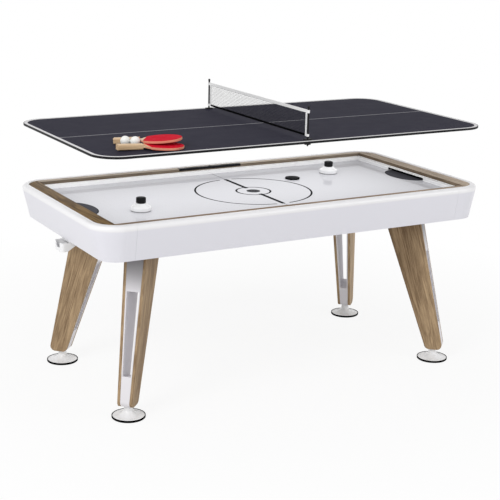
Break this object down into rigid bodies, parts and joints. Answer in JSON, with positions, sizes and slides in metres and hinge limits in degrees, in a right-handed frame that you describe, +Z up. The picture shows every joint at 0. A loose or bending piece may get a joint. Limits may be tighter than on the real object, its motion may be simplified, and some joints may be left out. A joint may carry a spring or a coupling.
{
  "type": "multi game table",
  "caption": "Air hockey table on splayed wooden legs with a lift-off table tennis top shown raised above it, its net, bats and balls.",
  "frame": {"origin": "on the floor at the centre of the table", "axes": "+X along the table's length, +Y across it away from the player at the near side, +Z up"},
  "size_m": [1.829, 0.914, 1.204],
  "materials": {
    "white_panel": "white laminated board, satin",
    "wood_rail": "medium brown wood grain, satin",
    "leg_board": "brown oak grain, satin",
    "leg_block": "white painted wood",
    "field": "glossy pale blue-grey lacquer with dark lines",
    "inner_board": "plain board",
    "white_plastic": "gloss white",
    "black_plastic": "satin black",
    "black_gloss": "gloss black",
    "button_face": "light grey",
    "felt": "black felt",
    "ring_rubber": "black rubber",
    "steel": "zinc-plated steel",
    "top_board": "black lacquer with a white border line",
    "edge_band": "dark edge band",
    "black_metal": "black powder coat",
    "net": "black mesh",
    "white_tape": "white woven tape",
    "bat_ply": "light ply, sanded",
    "red_rubber": "red sheet",
    "ball": "white"
  },
  "bodies": {
    "table": {"blower_housing": "black_plastic", "blower_motor": "steel", "end_apron_left": "white_panel", "end_apron_right": "white_panel", "end_rail_left": "wood_rail", "end_rail_right": "wood_rail", "leg_blocks_far_left": "leg_block", "leg_blocks_far_right": "leg_block", "leg_blocks_near_left": "leg_block", "leg_blocks_near_right": "leg_block", "leg_boards_far_left": "leg_board", "leg_boards_far_right": "leg_board", "leg_boards_near_left": "leg_board", "leg_boards_near_right": "leg_board", "leg_hardware": "steel", "playfield": "field", "plenum_tray": "inner_board", "power_inlet": "black_plastic", "puck_return_left": "white_plastic", "puck_return_right": "white_plastic", "scorer_case": "black_gloss", "side_apron_far": "white_panel", "side_apron_near": "white_panel", "side_rail_far": "wood_rail", "side_rail_near": "wood_rail", "wall_far": "white_panel", "wall_left": "white_panel", "wall_near": "white_panel", "wall_right": "white_panel"},
    "impeller": {"blower_impeller": "black_plastic"},
    "score_button": {"scorer_button": "button_face"},
    "leveller_near_left": {"foot_near_left": "white_plastic", "foot_ring_near_left": "ring_rubber"},
    "leveller_near_right": {"foot_near_right": "white_plastic", "foot_ring_near_right": "ring_rubber"},
    "leveller_far_left": {"foot_far_left": "white_plastic", "foot_ring_far_left": "ring_rubber"},
    "leveller_far_right": {"foot_far_right": "white_plastic", "foot_ring_far_right": "ring_rubber"},
    "left_pusher": {"left_pusher_base": "white_plastic", "left_pusher_felt": "felt", "left_pusher_knob": "black_gloss"},
    "right_pusher": {"right_pusher_base": "white_plastic", "right_pusher_felt": "felt", "right_pusher_knob": "black_gloss"},
    "game_puck": {"puck": "black_gloss"},
    "tennis_top": {"tennis_board": "top_board", "tennis_edge_band": "edge_band", "net_post_near": "black_metal", "net_post_far": "black_metal", "net_mesh": "net", "net_tape": "white_tape"},
    "nut_near": {"net_nut_near": "black_plastic"},
    "nut_far": {"net_nut_far": "black_plastic"},
    "front_bat": {"front_bat_wood": "bat_ply", "front_bat_rubber": "red_rubber"},
    "back_bat": {"back_bat_wood": "bat_ply", "back_bat_rubber": "red_rubber"},
    "low_ball": {"ball_low": "ball"},
    "high_ball": {"ball_high": "ball"}
  },
  "joints": [
    {"name": "impeller_spin", "type": "hinge", "parent": "table", "child": "impeller", "pos_m": [0, 0, 0.7], "axis": [0, 0, 1], "continuous": true},
    {"name": "button_press", "type": "slide", "parent": "table", "child": "score_button", "axis": [0, 0, -1], "range_m": [0, 0.0012], "stiffness_N_per_m": 600, "springref_m": -0.0005},
    {"name": "level_near_left", "type": "slide", "parent": "table", "child": "leveller_near_left", "axis": [0, 0, 1], "range_m": [-0.015, 0]},
    {"name": "level_near_right", "type": "slide", "parent": "table", "child": "leveller_near_right", "axis": [0, 0, 1], "range_m": [-0.015, 0]},
    {"name": "level_far_left", "type": "slide", "parent": "table", "child": "leveller_far_left", "axis": [0, 0, 1], "range_m": [-0.015, 0]},
    {"name": "level_far_right", "type": "slide", "parent": "table", "child": "leveller_far_right", "axis": [0, 0, 1], "range_m": [-0.015, 0]},
    {"name": "left_push", "type": "slide", "parent": "table", "child": "left_pusher", "axis": [1, 0, 0], "range_m": [-0.165, 0.55]},
    {"name": "right_push", "type": "slide", "parent": "table", "child": "right_pusher", "axis": [1, 0, 0], "range_m": [-0.15, 0.25]},
    {"name": "puck_glide", "type": "slide", "parent": "table", "child": "game_puck", "axis": [1, 0, 0], "range_m": [-1.055, 0.15]},
    {"name": "top_lift", "type": "slide", "parent": "table", "child": "tennis_top", "axis": [0, 0, 1], "range_m": [-0.228, 0.05]},
    {"name": "nut_turn_near", "type": "hinge", "parent": "tennis_top", "child": "nut_near", "pos_m": [0, -0.4205, 1.0542], "axis": [0, 0, 1], "continuous": true},
    {"name": "nut_turn_far", "type": "hinge", "parent": "tennis_top", "child": "nut_far", "pos_m": [0, 0.4205, 1.0542], "axis": [0, 0, 1], "continuous": true},
    {"name": "front_bat_draw", "type": "slide", "parent": "tennis_top", "child": "front_bat", "axis": [0, -1, 0], "range_m": [0, 0.1]},
    {"name": "back_bat_lift", "type": "slide", "parent": "tennis_top", "child": "back_bat", "axis": [0, 0, 1], "range_m": [0, 0.2]},
    {"name": "low_ball_lift", "type": "slide", "parent": "tennis_top", "child": "low_ball", "axis": [0, 0, 1], "range_m": [0, 0.2]},
    {"name": "high_ball_lift", "type": "slide", "parent": "tennis_top", "child": "high_ball", "axis": [0, 0, 1], "range_m": [0, 0.2]}
  ]
}
